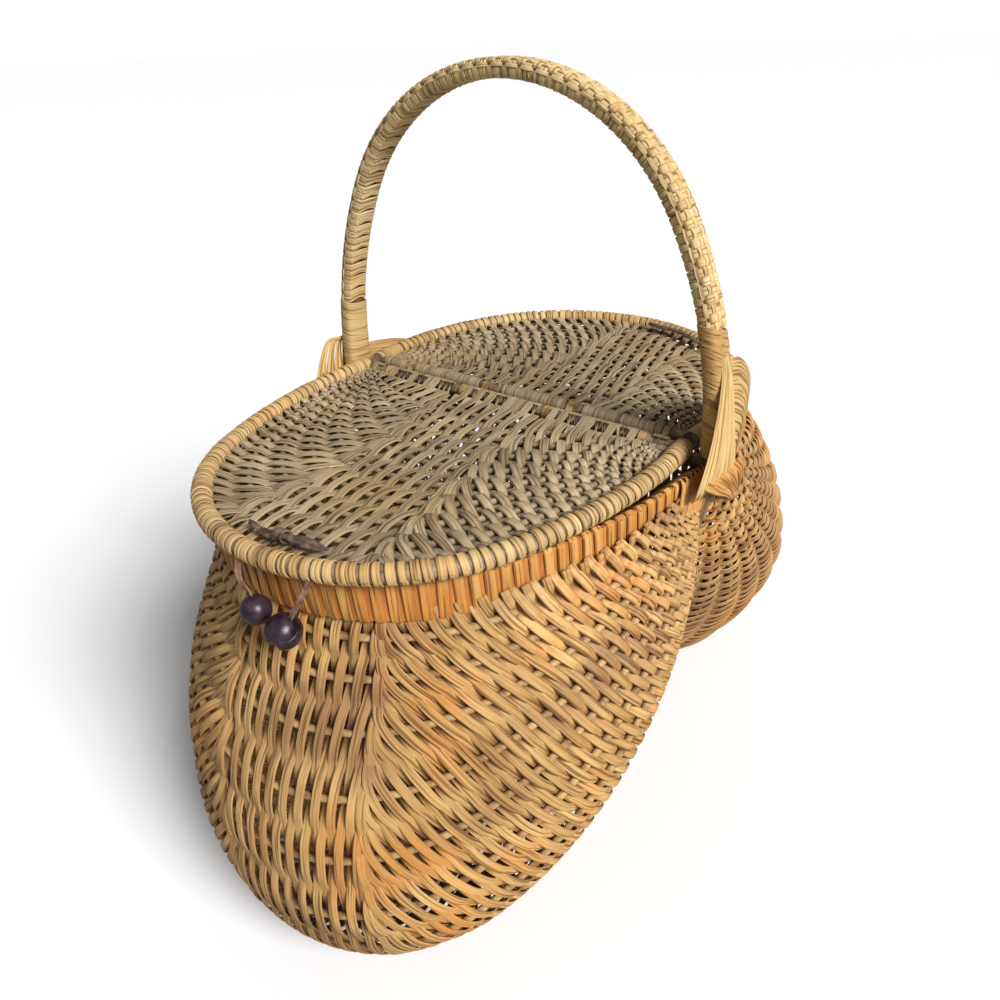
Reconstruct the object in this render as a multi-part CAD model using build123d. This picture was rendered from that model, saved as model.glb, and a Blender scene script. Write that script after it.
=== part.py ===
"""Two-lobed hooped cane basket with two hinged lids.

X runs from one ear of the basket to the other, Y from the rear lobe (+) to the front lobe (-)
and Z up. The origin is on the ground, under the middle of the ear axis. The ears are where the
handle hoop crosses the rim; every rib runs from one ear to the other round a lobe.
Lengths are in millimetres and angles in degrees.
"""
import os
from math import cos, radians, sin, sqrt

from build123d import *

os.makedirs("parts", exist_ok=True)

FRONT = -1
REAR = 1
SIDE_NAMES = {FRONT: "front", REAR: "rear"}

# Body shape. The reach is the distance from the ear axis to the lobe's skin, at each angle below the rim.
EAR_HALF = 105.0
EAR_HEIGHT = 209.0
REACH_ANGLES = (0, 15, 30, 45, 60, 75, 90)
REACH = {
    FRONT: (150.5, 171.5, 219.0, 258.5, 241.5, 184.0, 121.0),
    REAR: (128.0, 171.5, 219.0, 258.5, 241.5, 184.0, 121.0),
}
TOP_LEAN, BELLY_LEAN, SPINE_LEAN = 3.0, 20.8, -3.9
TOP_ROUNDNESS, BELLY_ROUNDNESS, SPINE_ROUNDNESS = 0.85, 0.49, 1.0

# Woven skin, laid over the ribs
SKIN_THICKNESS = 1.7
SKIN_PROUD = 0.9
SKIN_GAP = 0.3
SKIN_FIRST_ANGLE = 2.0
SKIN_LAST_ANGLE = 88.0
SKIN_EAR_RADIUS = 9.0

# Ribs of each lobe
RIB_RADIUS = 1.5
RIB_COUNT = 12
RIB_FIRST_ANGLE = 8.3
RIB_STEP = 5.35
RIB_STEP_GROWTH = 0.1
RIB_EAR_RADIUS = 38.0
RIB_END_GAP = 0.5
RIB_END_STEP = 0.002

# Handle hoop: an arch above the ears and a spine between the lobes below them
ARCH_RISE = 152.6
ARCH_LEAN = 3.9
ARCH_ROUNDNESS = 1.02
HOOP_THICKNESS = 4.6
HOOP_WIDTH = 11.0
HOOP_EDGE_RADIUS = 1.5
PLAIT_WALL = 1.5
PLAIT_EDGE_RADIUS = 2.6
WRAP_CLEARANCE = 0.05

# Bound feet of the handle, measured up from the ear axis
FOOT_WALL = 2.0
FOOT_GAP = 0.3
RIGHT_FOOT_TOP = 62.0
LEFT_FOOT_TOP = 43.0
CANE_WIDTH = 3.0
CANE_PITCH = 3.4
CANE_THICKNESS = 0.8

# Rim: a round rod inside, a flat band outside, and cane wrapped round both
RIM_ROD_RADIUS = 3.5
RIM_ROD_DROP = 4.5
RIM_EAR_INSET = 1.9
RIM_OVERHANG = {FRONT: 6.7, REAR: 5.5}
RIM_LEAN = 0.0
RIM_ROUNDNESS = 0.85
BAND_THICKNESS = 1.6
BAND_TOP = 3.4
BAND_BOTTOM = -13.2
BAND_ROD_GAP = 0.1
WRAP_PITCH = 5.6
WRAP_START = 20.0
EAR_CLEARANCE = 9.0

# Lids
LID_HEIGHT = 9.2
LID_ROD_RADIUS = 3.4
LID_CORNER_INSET = 11.5
LID_OVERHANG = {FRONT: 3.6, REAR: 1.5}
LID_LEAN = {FRONT: 5.0, REAR: 9.0}
LID_ROUNDNESS = 1.0
LID_BAR_RADIUS = 2.5
LID_BAR_Y = 5.2
LID_ROD_PAST_BAR = 1.6
LID_RIB_RADIUS = 1.25
LID_RIB_COUNT = 8
LID_RIB_DROP = 1.0
LID_RIB_CORNER_RADIUS = 34.0
LID_RIB_FAN = 90.0
LID_RIB_FAN_POWER = 0.6
LID_SKIN_THICKNESS = 1.8
LID_SKIN_GAP = 0.3
LID_WRAP_START = 26.0
LID_LASHING_LENGTH = 17.0

# Centre bar and the cane loops that hold the lid bars to it
CENTRE_BAR_RADIUS = 3.2
CENTRE_BAR_GAP = 0.1
HINGE_RUNNING_GAP = 0.05
HINGE_FIXED_GAP = 0.02
HINGE_LOOP_POSITIONS = (-75.0, -25.0, 25.0, 75.0)
HINGE_LOOP_SHIFT = 7.0

# Ear lashings and straps
LASHING_THICKNESS = 1.4
LASHING_GAP = 0.2
FAN_LENGTH = 46.0
RIGHT_FAN_TOP = 36.0
LEFT_FAN_TOP = 17.0
STRAP_WIDTH = 9.0
STRAP_THICKNESS = 1.2
STRAP_STANDOFF = 0.9
STRAP_LOW_Y = -24.0
STRAP_LOW_Z = -6.0
STRAP_HIGH_Y = 6.0
RIGHT_STRAP_HIGH_Z = 50.0
LEFT_STRAP_HIGH_Z = 35.0

# Leather closure on the front lid: a knotted thong on top and two laces with beads in front
THONG_WIDTH = 4.6
THONG_THICKNESS = 2.0
FRONT_THONG_X = 9.0
FRONT_THONG_LENGTH = 38.0
REAR_THONG_X = 34.0
REAR_THONG_LENGTH = 46.0
KNOT_RADIUS = 3.6
BEAD_RADIUS = 7.0
BEAD_GAP = 0.6
BEAD_SLOT_WIDTH = 1.2
BEAD_SLOT_DEPTH = 2.0
BEAD_X = (4.0, 18.0)
BEAD_DROP = (12.0, 15.5)
LACE_X = (-2.0, 29.0)
LACE_RADIUS = 1.0
LACE_TOP = 5.9

# Places that follow from the sizes above
RIM_EAR_HALF = EAR_HALF - RIM_EAR_INSET
RIM_REACH = {side: REACH[side][0] + RIM_OVERHANG[side] for side in SIDE_NAMES}
LID_CORNER_HALF = EAR_HALF - LID_CORNER_INSET
LID_REACH = {side: RIM_REACH[side] + LID_OVERHANG[side] for side in SIDE_NAMES}
ROD_FROM_BAND = BAND_THICKNESS + BAND_ROD_GAP + RIM_ROD_RADIUS
LID_WRAP_OUTSIDE = LID_ROD_RADIUS + WRAP_CLEARANCE + CANE_THICKNESS
CENTRE_BAR_Z = RIM_ROD_RADIUS - RIM_ROD_DROP + CENTRE_BAR_RADIUS + CENTRE_BAR_GAP
BEAD_Y = -(RIM_REACH[FRONT] + CANE_THICKNESS + WRAP_CLEARANCE + BEAD_GAP + BEAD_RADIUS)

X_DIR = Vector(1, 0, 0)
Y_DIR = Vector(0, 1, 0)
Z_DIR = Vector(0, 0, 1)
EAR_LEVEL = Vector(0, 0, EAR_HEIGHT)
FAR = 1000.0


def smooth_value(x, knots, values):
    """Cubic through the knots, with slopes taken from their neighbours."""
    last = len(knots) - 1
    i = max(k for k in range(last) if x >= knots[k] or k == 0)
    step = knots[i + 1] - knots[i]
    before = max(i - 1, 0)
    after = min(i + 2, last)
    slope_in = (values[i + 1] - values[before]) / (knots[i + 1] - knots[before])
    slope_out = (values[after] - values[i]) / (knots[after] - knots[i])
    t = (x - knots[i]) / step
    rise = values[i + 1] - values[i]
    cubic = (slope_in + slope_out) * step - 2 * rise
    square = 3 * rise - (2 * slope_in + slope_out) * step
    return values[i] + slope_in * step * t + square * t**2 + cubic * t**3


def between(top_value, belly_value, spine_value, angle):
    """A value that swings from the top of a lobe through its belly to the spine."""
    straight = top_value + (spine_value - top_value) * angle / 90
    middle = (top_value + spine_value) / 2
    return straight + (belly_value - middle) * sin(radians(2 * angle))


def arc_join(start, start_dir, end, end_dir, roundness):
    """Where two tangent arcs between two points meet, and their direction there."""
    handles = start_dir + end_dir * roundness
    chord = end - start
    square = handles.dot(handles) - (1 + roundness) ** 2
    linear = -2 * chord.dot(handles)
    root = sqrt(linear**2 - 4 * square * chord.dot(chord))
    length = (-linear - root) / (2 * square)
    first = start + start_dir * length
    second = end - end_dir * (length * roundness)
    joint = first + (second - first) * (1 / (1 + roundness))
    return joint, (second - first).normalized()


def mirrored(vector):
    return Vector(-vector.X, vector.Y, vector.Z)


def bow(centre, outward, half_span, lean, reach, roundness, proud=0.0, start_rise=0.0):
    """Four tangent arcs over a straight chord along X, in the plane of X and the outward direction.

    It starts at half_span on the right, leans out from the outward direction there, and crosses
    the middle at the reach. proud moves the whole bow outwards, parallel to itself.
    """
    start = centre + X_DIR * half_span + outward * start_rise
    start_dir = X_DIR * sin(radians(lean)) + outward * cos(radians(lean))
    crown = centre + outward * reach
    joint, joint_dir = arc_join(start, start_dir, crown, -X_DIR, roundness)
    square = X_DIR.cross(outward)
    start += start_dir.cross(square) * proud
    joint += joint_dir.cross(square) * proud
    crown += outward * proud
    return [
        TangentArc(start, joint, tangent=start_dir),
        TangentArc(joint, crown, tangent=joint_dir),
        TangentArc(crown, mirrored(joint), tangent=-X_DIR),
        TangentArc(mirrored(joint), mirrored(start), tangent=-mirrored(joint_dir)),
    ]


def strip_face(outer, inner):
    """Face between two bows, closed by a straight line at each end."""
    ends = [Line(inner[0] @ 0, outer[0] @ 0), Line(outer[-1] @ 1, inner[-1] @ 1)]
    return Face(Wire(outer + inner + ends))


def rod(edges, radius):
    """Round rod along a chain of tangent arcs."""
    path = Wire(edges)
    section = Plane(origin=path @ 0, z_dir=path % 0) * Circle(radius)
    return sweep(section, path=path)


def straight_rod(start, end, radius):
    return Plane(origin=start, z_dir=end - start) * extrude(Circle(radius), (end - start).length)


def block(low, high):
    """Box between two corners."""
    size = high - low
    return Pos((low + high) / 2) * Box(size.X, size.Y, size.Z)


def level(z):
    """Point on the vertical axis, at a height above the ear axis."""
    return EAR_LEVEL + Z_DIR * z


def solid_of(shape):
    """The largest solid of a shape that should be one solid."""
    return max(shape.solids(), key=lambda solid: solid.volume)


def save(shapes, node, colour):
    """Write one node: a solid, or a group of separate solids."""
    solids = [solid for shape in shapes for solid in shape.solids()]
    part = solids[0] if len(solids) == 1 else Compound(children=solids)
    part.label = node
    part.color = Color(*colour)
    export_step(part, f"parts/{node}.step")


# Lobes

def lobe_reach(side, angle):
    return smooth_value(angle, REACH_ANGLES, REACH[side])


def slant(side, angle):
    """How much longer a step along a section is than the same step square to the lobe's surface."""
    step = 1.0
    change = (lobe_reach(side, angle + step) - lobe_reach(side, angle - step)) / radians(2 * step)
    return sqrt(1 + (change / lobe_reach(side, angle)) ** 2)


def rib_bow(side, angle, proud):
    """Bow from ear to ear round a lobe, at one angle below the rim and proud of the lobe's surface."""
    outward = Vector(0, side * cos(radians(angle)), -sin(radians(angle)))
    lean = between(TOP_LEAN, BELLY_LEAN, SPINE_LEAN, angle)
    roundness = between(TOP_ROUNDNESS, BELLY_ROUNDNESS, SPINE_ROUNDNESS, angle)
    proud *= slant(side, angle)
    return bow(EAR_LEVEL, outward, EAR_HALF, lean, lobe_reach(side, angle), roundness, proud, SKIN_EAR_RADIUS)


def rib_angle(number):
    return RIB_FIRST_ANGLE + RIB_STEP * number + RIB_STEP_GROWTH * number**2


def above_rim():
    """Everything above the lower edge of the rim's wrapping."""
    rim_line = BAND_BOTTOM - CANE_THICKNESS - WRAP_CLEARANCE - SKIN_GAP
    return block(Vector(-FAR, -FAR, EAR_HEIGHT + rim_line), Vector(FAR, FAR, FAR))


def rib(side, number):
    """One round rib against the inside of the skin, between the crowded ears and below the rim."""
    inset = SKIN_PROUD - SKIN_THICKNESS - SKIN_GAP - RIB_RADIUS
    path = Wire(rib_bow(side, rib_angle(number), inset))
    rim_edge = level(BAND_BOTTOM - WRAP_CLEARANCE - CANE_THICKNESS - RIB_RADIUS - RIB_END_GAP).Z
    share = 0.0
    while (path @ share).Z > rim_edge or (path @ share - EAR_LEVEL).cross(X_DIR).length < RIB_EAR_RADIUS:
        share += RIB_END_STEP
    return rod(path.trim(share, 1 - share).edges(), RIB_RADIUS)


def skin(side):
    """Woven skin of one lobe: open at the rim and the spine, and flat where it stands."""
    angles = [SKIN_FIRST_ANGLE] + [rib_angle(i) for i in range(RIB_COUNT)] + [SKIN_LAST_ANGLE]
    sections = []
    for angle in angles:
        outer = rib_bow(side, angle, SKIN_PROUD)
        inner = rib_bow(side, angle, SKIN_PROUD - SKIN_THICKNESS)
        sections.append(strip_face(outer, inner))
    shell = loft(sections)
    hoop_half = HOOP_WIDTH / 2 + SKIN_GAP
    spine_slot = block(Vector(-FAR, -hoop_half, -FAR), Vector(FAR, hoop_half, FAR))
    below_ground = block(Vector(-FAR, -FAR, -FAR), Vector(FAR, FAR, 0))
    return solid_of(shell - above_rim() - spine_slot - below_ground)


# Handle hoop

def arch_bow(proud):
    return bow(EAR_LEVEL, Z_DIR, EAR_HALF, ARCH_LEAN, ARCH_RISE, ARCH_ROUNDNESS, proud)


def spine_bow(proud):
    return bow(EAR_LEVEL, -Z_DIR, EAR_HALF, SPINE_LEAN, REACH[FRONT][-1], SPINE_ROUNDNESS, proud)


def upright_strip(bow_of, wall, width):
    """Bow of rectangular section round the arch or the spine, centred on its line."""
    face = strip_face(bow_of(wall / 2), bow_of(-wall / 2))
    return extrude(face, width / 2, dir=(0, 1, 0), both=True)


def rounded(solid, radius):
    """Round the long edges that run round a bow."""
    long_edges = [edge for edge in solid.edges() if edge.length > EAR_HALF / 2]
    return fillet(long_edges, radius)


def hoop():
    arch = rounded(upright_strip(arch_bow, HOOP_THICKNESS, HOOP_WIDTH), HOOP_EDGE_RADIUS)
    spine = rounded(upright_strip(spine_bow, HOOP_THICKNESS, HOOP_WIDTH), HOOP_EDGE_RADIUS)
    return arch + spine


def hoop_sleeve(wall, edge_radius):
    """Sleeve round the arch, of one wall all round the hoop."""
    thickness = HOOP_THICKNESS + 2 * wall
    width = HOOP_WIDTH + 2 * wall
    outside = rounded(upright_strip(arch_bow, thickness, width), edge_radius)
    bore = upright_strip(arch_bow, HOOP_THICKNESS + 2 * WRAP_CLEARANCE, HOOP_WIDTH + 2 * WRAP_CLEARANCE)
    return outside - bore


def foot_top(x_side):
    return RIGHT_FOOT_TOP if x_side > 0 else LEFT_FOOT_TOP


def side_zone(x_side, low, high):
    """Everything on one side of the basket between two heights above the ear axis."""
    near, far = (0, FAR) if x_side > 0 else (-FAR, 0)
    return block(Vector(near, -FAR, EAR_HEIGHT + low), Vector(far, FAR, EAR_HEIGHT + high))


def plait():
    """Plaited cane over the arch, between the two bound feet."""
    sleeve = hoop_sleeve(PLAIT_WALL, PLAIT_EDGE_RADIUS)
    for x_side in (-1, 1):
        sleeve -= side_zone(x_side, -FAR, foot_top(x_side) + SKIN_GAP)
    return solid_of(sleeve)


def foot_binding(x_side):
    """Close turns of cane round one foot of the handle, as a ribbed collar."""
    top = foot_top(x_side)
    start = CENTRE_BAR_Z + CENTRE_BAR_RADIUS + FOOT_GAP
    zone = side_zone(x_side, start, top)
    ridge = hoop_sleeve(FOOT_WALL, PLAIT_EDGE_RADIUS) & zone
    groove_floor = hoop_sleeve(FOOT_WALL - CANE_THICKNESS / 2, PLAIT_EDGE_RADIUS) & zone
    collar = groove_floor
    turns = int((top - start) / CANE_PITCH)
    for i in range(turns):
        low = start + i * CANE_PITCH
        collar += ridge & side_zone(x_side, low, low + CANE_WIDTH)
    return solid_of(collar)


# Rim

def rim_bow(side, proud):
    """Level bow along the rim of one lobe; proud is measured out from the band's outer face."""
    return bow(EAR_LEVEL, Y_DIR * side, RIM_EAR_HALF, RIM_LEAN, RIM_REACH[side], RIM_ROUNDNESS, proud)


def rim_rod():
    """One closed ring inside the band, front half and rear half."""
    halves = [rod(rim_bow(side, -ROD_FROM_BAND), RIM_ROD_RADIUS) for side in (FRONT, REAR)]
    return Pos(Z_DIR * -RIM_ROD_DROP) * (halves[0] + halves[1])


def ear_zone_block(half_width):
    return block(Vector(-FAR, -half_width, -FAR), Vector(FAR, half_width, FAR))


def rim_band(side):
    """Flat splint round the outside of the rim, ending beside each foot of the handle."""
    face = strip_face(rim_bow(side, 0), rim_bow(side, -BAND_THICKNESS))
    band = Pos(Z_DIR * BAND_BOTTOM) * extrude(face, BAND_TOP - BAND_BOTTOM, dir=(0, 0, 1))
    return solid_of(band - ear_zone_block(EAR_CLEARANCE))


def stations(wire, start, pitch):
    """Distances along a wire at one pitch, from start to the same distance before its end."""
    count = int((wire.length - 2 * start) / pitch)
    margin = (wire.length - count * pitch) / 2
    return [margin + i * pitch for i in range(count + 1)]


def frames(edges, start, pitch):
    """Planes square to a level bow, with local x outwards and local y up."""
    wire = Wire(edges)
    planes = []
    for distance in stations(wire, start, pitch):
        point = wire.position_at(distance, position_mode=PositionMode.LENGTH)
        along = wire.tangent_at(distance, position_mode=PositionMode.LENGTH)
        outward = along.cross(Z_DIR).normalized()
        if outward.dot(point - Vector(0, 0, point.Z)) < 0:
            outward = -outward
        planes.append(Plane(origin=point, x_dir=outward, z_dir=outward.cross(Z_DIR)))
    return planes


def rim_wraps(side):
    """Turns of cane round the band and the rod behind it."""
    depth = ROD_FROM_BAND + RIM_ROD_RADIUS + 2 * WRAP_CLEARANCE
    height = BAND_TOP - BAND_BOTTOM + 2 * WRAP_CLEARANCE
    middle = Vector(-depth / 2 + WRAP_CLEARANCE, (BAND_TOP + BAND_BOTTOM) / 2)
    ring = Rectangle(depth + 2 * CANE_THICKNESS, height + 2 * CANE_THICKNESS) - Rectangle(depth, height)
    turn = extrude(Pos(middle) * ring, CANE_WIDTH / 2, both=True)
    return [plane * turn for plane in frames(rim_bow(side, 0), WRAP_START, WRAP_PITCH)]


# Lids

def lid_axis(side):
    """A point of the lid's hinge line, in the middle of the lid bar."""
    return level(LID_HEIGHT) + Y_DIR * (side * LID_BAR_Y)


def lid_bow(side, proud):
    """Level bow along the lid's rim rod, starting just past the lid bar."""
    corner_y = LID_BAR_Y - LID_ROD_PAST_BAR
    reach = LID_REACH[side]
    centre = level(LID_HEIGHT)
    lean = LID_LEAN[side]
    return bow(centre, Y_DIR * side, LID_CORNER_HALF, lean, reach, LID_ROUNDNESS, proud, corner_y)


def lid_rod(side):
    return rod(lid_bow(side, 0), LID_ROD_RADIUS)


def lid_bar(side):
    """Straight hinge rod of one lid, butting the rim rod at both corners."""
    half = LID_CORNER_HALF - LID_ROD_RADIUS - WRAP_CLEARANCE
    middle = lid_axis(side)
    return straight_rod(middle - X_DIR * half, middle + X_DIR * half, LID_BAR_RADIUS)


def lid_wraps(side):
    """Turns of cane round the lid's rim rod."""
    ring = Circle(LID_WRAP_OUTSIDE) - Circle(LID_ROD_RADIUS + WRAP_CLEARANCE)
    turn = extrude(ring, CANE_WIDTH / 2, both=True)
    return [plane * turn for plane in frames(lid_bow(side, 0), LID_WRAP_START, WRAP_PITCH)]


def lid_lashings(side):
    """Close binding round the rim rod at each corner of the lid."""
    ring = Circle(LID_WRAP_OUTSIDE) - Circle(LID_ROD_RADIUS + WRAP_CLEARANCE)
    wire = Wire(lid_bow(side, 0))
    start = LID_ROD_PAST_BAR + LID_BAR_RADIUS + CANE_THICKNESS
    lashings = []
    for near_end in (True, False):
        low = start if near_end else wire.length - start - LID_LASHING_LENGTH
        path = Wire(wire.trim(low / wire.length, (low + LID_LASHING_LENGTH) / wire.length).edges())
        section = Plane(origin=path @ 0, z_dir=path % 0) * ring
        lashings.append(sweep(section, path=path))
    return lashings


def hinge_loop_positions(side):
    return [x + (HINGE_LOOP_SHIFT if side == REAR else 0) for x in HINGE_LOOP_POSITIONS]


def lid_skin(side):
    """Woven panel of one lid, between the bar and the rim rod, notched for the hinge loops."""
    edges = lid_bow(side, -LID_WRAP_OUTSIDE - LID_SKIN_GAP)
    face = Face(Wire(edges + [Line(edges[-1] @ 1, edges[0] @ 0)]))
    bottom = LID_RIB_RADIUS - LID_RIB_DROP + LID_SKIN_GAP
    panel = Pos(Z_DIR * bottom) * extrude(face, LID_SKIN_THICKNESS, dir=(0, 0, 1))
    bar_edge = LID_BAR_Y + LID_BAR_RADIUS + LID_SKIN_GAP
    bar_side = sorted((-side * FAR, side * bar_edge))
    panel -= block(Vector(-FAR, bar_side[0], 0), Vector(FAR, bar_side[1], FAR))
    loop_reach = LID_BAR_Y + LID_BAR_RADIUS + HINGE_RUNNING_GAP + CANE_THICKNESS + 2 * LID_SKIN_GAP
    notch_side = sorted((0, side * loop_reach))
    notch_half = CANE_WIDTH / 2 + 2 * LID_SKIN_GAP
    for x in hinge_loop_positions(side):
        panel -= block(Vector(x - notch_half, notch_side[0], 0), Vector(x + notch_half, notch_side[1], FAR))
    return solid_of(panel)


def lid_ribs(side):
    """Ribs that fan out of the lid's corners, under its woven panel."""
    bar_line = LID_BAR_Y + LID_BAR_RADIUS
    rim_line = LID_REACH[side] - LID_WRAP_OUTSIDE
    corner = LID_CORNER_HALF - LID_WRAP_OUTSIDE - LID_RIB_RADIUS
    ribs = []
    for number in range(1, LID_RIB_COUNT + 1):
        share = number / (LID_RIB_COUNT + 1)
        lean = LID_RIB_FAN * (share**LID_RIB_FAN_POWER - 1) + LID_LEAN[side] * share
        reach = bar_line + (rim_line - bar_line) * share
        centre = level(LID_HEIGHT - LID_RIB_DROP)
        path = bow(centre, Y_DIR * side, corner, lean, reach, LID_ROUNDNESS, 0, bar_line)
        whole = rod(path, LID_RIB_RADIUS)
        for x_side in (-1, 1):
            crowded = Vector(x_side * LID_CORNER_HALF, side * bar_line, EAR_HEIGHT)
            whole -= Pos(crowded) * Cylinder(LID_RIB_CORNER_RADIUS, FAR)
        ribs.append(solid_of(whole))
    return ribs


# Centre bar and hinge loops

def centre_bar():
    """Bar from one foot of the handle to the other, resting on the rim rod."""
    half = EAR_HALF - HOOP_THICKNESS / 2 - CENTRE_BAR_GAP
    return straight_rod(level(CENTRE_BAR_Z) - X_DIR * half, level(CENTRE_BAR_Z) + X_DIR * half, CENTRE_BAR_RADIUS)


def hinge_loop(side, x):
    """Cane loop, tight on the centre bar and running on the lid bar."""
    lid_centre = Pos(side * LID_BAR_Y, LID_HEIGHT)
    bar_centre = Pos(0, CENTRE_BAR_Z)
    tight = CENTRE_BAR_RADIUS + HINGE_FIXED_GAP
    running = LID_BAR_RADIUS + HINGE_RUNNING_GAP
    outer_circles = [lid_centre * Circle(running + CANE_THICKNESS), bar_centre * Circle(tight + CANE_THICKNESS)]
    inner_circles = [lid_centre * Circle(running), bar_centre * Circle(tight)]
    outer = make_hull([edge for circle in outer_circles for edge in circle.edges()])
    inner = make_hull([edge for circle in inner_circles for edge in circle.edges()])
    plane = Plane(origin=EAR_LEVEL + X_DIR * x, x_dir=Y_DIR, z_dir=X_DIR)
    return plane * extrude(outer - inner, CANE_WIDTH / 2, both=True)


def hinge_loops(side):
    return [hinge_loop(side, x) for x in hinge_loop_positions(side)]


# Ear lashings

def fan_lashing(x_side):
    """Fan of cane behind the handle's foot, closing the rear rim to the ear."""
    proud = CANE_THICKNESS + WRAP_CLEARANCE + LASHING_GAP
    face = strip_face(rim_bow(REAR, proud + LASHING_THICKNESS), rim_bow(REAR, proud))
    low = BAND_BOTTOM - CANE_THICKNESS
    top = RIGHT_FAN_TOP if x_side > 0 else LEFT_FAN_TOP
    band = Pos(Z_DIR * low) * extrude(face, top - low, dir=(0, 0, 1))
    start = HOOP_WIDTH / 2 + FOOT_WALL + LASHING_GAP
    outline = Polyline((start, top), (start, low), (FAN_LENGTH, low), (FAN_LENGTH, BAND_TOP), close=True)
    plane = Plane(origin=EAR_LEVEL, x_dir=Y_DIR, z_dir=X_DIR)
    near, far = sorted((0, x_side * FAR))
    prism = extrude(plane * make_face(outline), FAR, both=True) & block(Vector(near, -FAR, 0), Vector(far, FAR, FAR))
    return solid_of(band & prism)


def strap(x_side):
    """Broad flat cane that crosses the ear, from the front of the rim up to the back of the handle's foot."""
    outside = EAR_HALF + HOOP_THICKNESS / 2 + FOOT_WALL + STRAP_STANDOFF + STRAP_THICKNESS / 2
    low = Vector(outside, STRAP_LOW_Y, EAR_HEIGHT + STRAP_LOW_Z)
    rise = RIGHT_STRAP_HIGH_Z if x_side > 0 else LEFT_STRAP_HIGH_Z
    high = Vector(outside, STRAP_HIGH_Y, EAR_HEIGHT + rise)
    along = high - low
    plane = Plane(origin=low, x_dir=X_DIR, z_dir=along)
    band = plane * extrude(Rectangle(STRAP_THICKNESS, STRAP_WIDTH), along.length)
    return band if x_side > 0 else mirror(band, about=Plane.YZ)


# Leather closure

def thong(side, x, length, knotted):
    """Leather thong lying on the lid beside its rim, with a knot in the middle on the front lid."""
    wire = Wire(lid_bow(side, -LID_WRAP_OUTSIDE - LID_SKIN_GAP - THONG_WIDTH / 2 - 1))
    bottom = LID_RIB_RADIUS - LID_RIB_DROP + LID_SKIN_GAP + LID_SKIN_THICKNESS
    middle = wire.length / 2 - x
    trimmed = wire.trim((middle - length / 2) / wire.length, (middle + length / 2) / wire.length)
    path = Wire([edge.moved(Pos(Z_DIR * (bottom + THONG_THICKNESS / 2))) for edge in trimmed.edges()])
    section = Plane(origin=path @ 0, x_dir=Z_DIR, z_dir=path % 0) * Rectangle(THONG_THICKNESS, THONG_WIDTH)
    strip = sweep(section, path=path)
    if knotted:
        knot = Pos(path @ 0.5 + Z_DIR * (KNOT_RADIUS - THONG_THICKNESS) / 2) * Sphere(KNOT_RADIUS)
        above_panel = block(Vector(-FAR, -FAR, level(LID_HEIGHT + bottom).Z), Vector(FAR, FAR, FAR))
        strip += knot & above_panel
    return solid_of(strip)


def bead_centre(number):
    return Vector(BEAD_X[number], BEAD_Y, EAR_HEIGHT - BEAD_DROP[number])


def bead(number):
    """Round bead with a slot across its lower half."""
    ball = Sphere(BEAD_RADIUS)
    slot = Pos(0, 0, -BEAD_RADIUS) * Box(3 * BEAD_RADIUS, BEAD_SLOT_WIDTH, 2 * BEAD_SLOT_DEPTH)
    return Pos(bead_centre(number)) * (ball - slot)


def lace(number):
    """Leather lace from under the lid's rim to the top of its bead."""
    crown_arc = lid_bow(FRONT, 0)[1]
    rim_y = crown_arc.arc_center.Y - sqrt(crown_arc.radius ** 2 - LACE_X[number] ** 2)
    top = Vector(LACE_X[number], rim_y + LID_REACH[FRONT] + BEAD_Y, EAR_HEIGHT + LACE_TOP)
    centre = bead_centre(number)
    slant = (top - centre).normalized()
    end = centre + slant * (BEAD_RADIUS + WRAP_CLEARANCE)
    return straight_rod(end, top, LACE_RADIUS)


CANE = (0.72, 0.52, 0.27)
GREY_CANE = (0.56, 0.46, 0.33)
PALE_CANE = (0.82, 0.68, 0.42)
BAND_CANE = (0.80, 0.52, 0.22)
ROD_WOOD = (0.66, 0.47, 0.26)
LEATHER = (0.30, 0.23, 0.18)
BEAD_COLOUR = (0.14, 0.09, 0.12)


def build():
    save([hoop()], "handle_hoop", ROD_WOOD)
    save([plait()], "handle_plait", PALE_CANE)
    for x_side, name in ((-1, "left"), (1, "right")):
        save([foot_binding(x_side)], f"foot_binding_{name}", PALE_CANE)
        save([fan_lashing(x_side)], f"ear_fan_{name}", CANE)
        save([strap(x_side)], f"ear_strap_{name}", PALE_CANE)
    save([rim_rod()], "rim_rod", ROD_WOOD)
    save([centre_bar()], "centre_bar", ROD_WOOD)
    for side, name in SIDE_NAMES.items():
        save([rim_band(side)], f"rim_band_{name}", BAND_CANE)
        save(rim_wraps(side), f"rim_wraps_{name}", CANE)
        save([skin(side)], f"weave_{name}", CANE)
        for number in range(RIB_COUNT):
            save([rib(side, number)], f"rib_{name}_{number + 1:02d}", ROD_WOOD)
        save(hinge_loops(side), f"hinge_loops_{name}", PALE_CANE)
        save([lid_rod(side)], f"{name}_lid_rim", ROD_WOOD)
        save([lid_bar(side)], f"{name}_lid_bar", ROD_WOOD)
        save(lid_wraps(side), f"{name}_lid_wraps", CANE)
        save(lid_lashings(side), f"{name}_lid_lashings", PALE_CANE)
        save([lid_skin(side)], f"{name}_lid_weave", GREY_CANE)
        save(lid_ribs(side), f"{name}_lid_ribs", ROD_WOOD)
    save([thong(FRONT, FRONT_THONG_X, FRONT_THONG_LENGTH, True)], "front_lid_thong", LEATHER)
    save([thong(REAR, REAR_THONG_X, REAR_THONG_LENGTH, False)], "rear_lid_thong", LEATHER)
    for number, name in enumerate(("left", "right")):
        save([lace(number)], f"lace_{name}", LEATHER)
        save([bead(number)], f"bead_{name}", BEAD_COLOUR)


build()
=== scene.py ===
import math

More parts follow.
